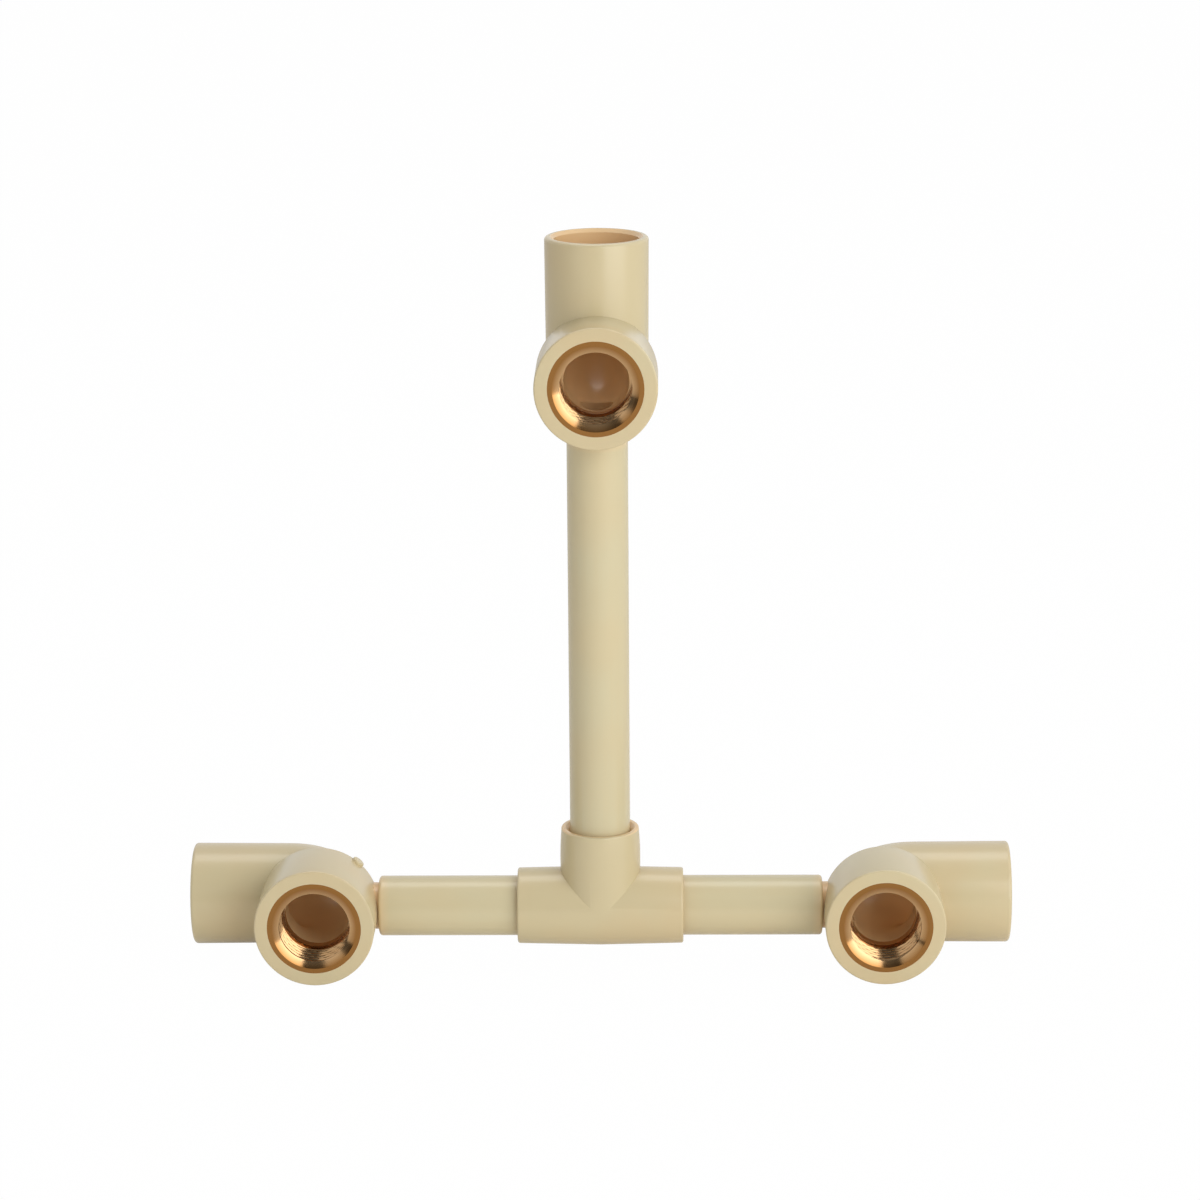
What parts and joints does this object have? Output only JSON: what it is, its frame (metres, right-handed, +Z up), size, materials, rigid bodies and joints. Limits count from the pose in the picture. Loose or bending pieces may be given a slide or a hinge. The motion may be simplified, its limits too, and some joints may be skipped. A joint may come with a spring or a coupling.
{
  "type": "mixer adapter",
  "caption": "Cemented pipe fitting for mounting a wall mixer: lower elbows and an upper elbow with brass threaded outlets, joined by pipes and a tee.",
  "frame": {"origin": "under the middle of the box round the part, at the height of the lowest points of the two lower outlets", "axes": "as it hangs on the wall: +X to the right along the lower pipes, +Z up along the riser, and the outlets face -Y"},
  "size_m": [0.2186, 0.0428, 0.1941],
  "materials": {
    "moulding": "satin cream CPVC, as moulded",
    "pipe": "satin cream CPVC, extruded",
    "insert": "machined brass"
  },
  "bodies": {
    "root": {"left_elbow": "moulding", "right_elbow": "moulding", "top_elbow": "moulding", "left_insert": "insert", "right_insert": "insert", "top_insert": "insert", "centre_tee": "moulding", "left_pipe": "pipe", "right_pipe": "pipe", "riser_pipe": "pipe"}
  },
  "joints": []
}
